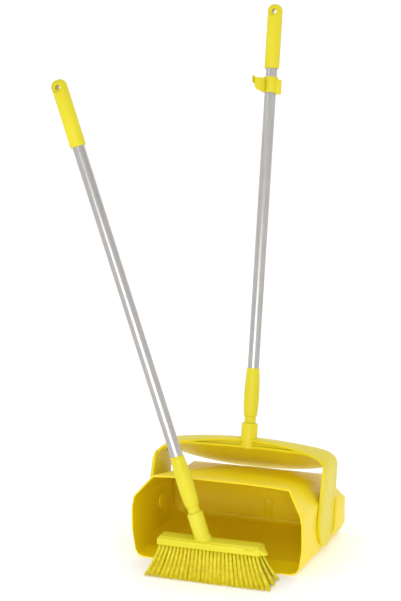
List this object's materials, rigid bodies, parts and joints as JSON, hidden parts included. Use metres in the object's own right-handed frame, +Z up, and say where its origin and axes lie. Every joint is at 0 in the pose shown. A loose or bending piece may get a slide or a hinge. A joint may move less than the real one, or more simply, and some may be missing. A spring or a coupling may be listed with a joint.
{
  "type": "dust pan and brush set",
  "caption": "Long-handled dust pan with a deep hooded tub, a pivoting carrying yoke with a curved lid panel and a tube handle, plus a matching long-handled brush with flared bristles.",
  "frame": {"origin": "centre of the pan's flat base, on the floor", "axes": "+Z up; -Y out of the pan's mouth; +X to the right when facing the mouth from the front, camera looking along +Y"},
  "size_m": [0.547, 0.5358, 1.1532],
  "materials": {
    "pan_plastic": "satin injection-moulded polypropylene, greenish yellow",
    "yoke_plastic": "satin injection-moulded polypropylene, greenish yellow",
    "lid_plastic": "smooth injection-moulded polypropylene, yellow",
    "handle_plastic": "satin moulded plastic with a fine grain, greenish yellow",
    "tube_metal": "drawn and anodised, satin with a fine lengthwise grain",
    "block_plastic": "satin moulded plastic, light greenish yellow",
    "bristle_fibre": "polyester filaments, slightly glossy, cut ends"
  },
  "bodies": {
    "pan": {"pan_body": "pan_plastic"},
    "yoke": {"yoke": "yoke_plastic", "lid_panel": "lid_plastic", "pivot_button_left": "pan_plastic", "pivot_button_right": "pan_plastic", "pan_ferrule": "handle_plastic", "pan_tube": "tube_metal", "pan_grip": "handle_plastic"},
    "clip": {"handle_clip": "handle_plastic"},
    "brush": {"brush_block": "block_plastic", "bristle_row_1": "bristle_fibre", "bristle_row_2": "bristle_fibre", "bristle_row_3": "bristle_fibre", "bristle_row_4": "bristle_fibre", "bristle_row_5": "bristle_fibre", "brush_ferrule": "handle_plastic", "brush_tube": "tube_metal", "brush_grip": "handle_plastic"}
  },
  "joints": [
    {"name": "yoke_hinge", "type": "hinge", "parent": "pan", "child": "yoke", "pos_m": [0, 0.022, 0.072], "axis": [1, 0, 0], "range_deg": [0, 40]},
    {"name": "clip_turn", "type": "hinge", "parent": "yoke", "child": "clip", "pos_m": [0, 0.24102, 0.97817], "axis": [0, 0.2045, 0.9789], "range_deg": [-90, 90]},
    {"name": "brush_lift", "type": "slide", "parent": "pan", "child": "brush", "axis": [0, 0, 1], "range_m": [0, 0.3]}
  ]
}
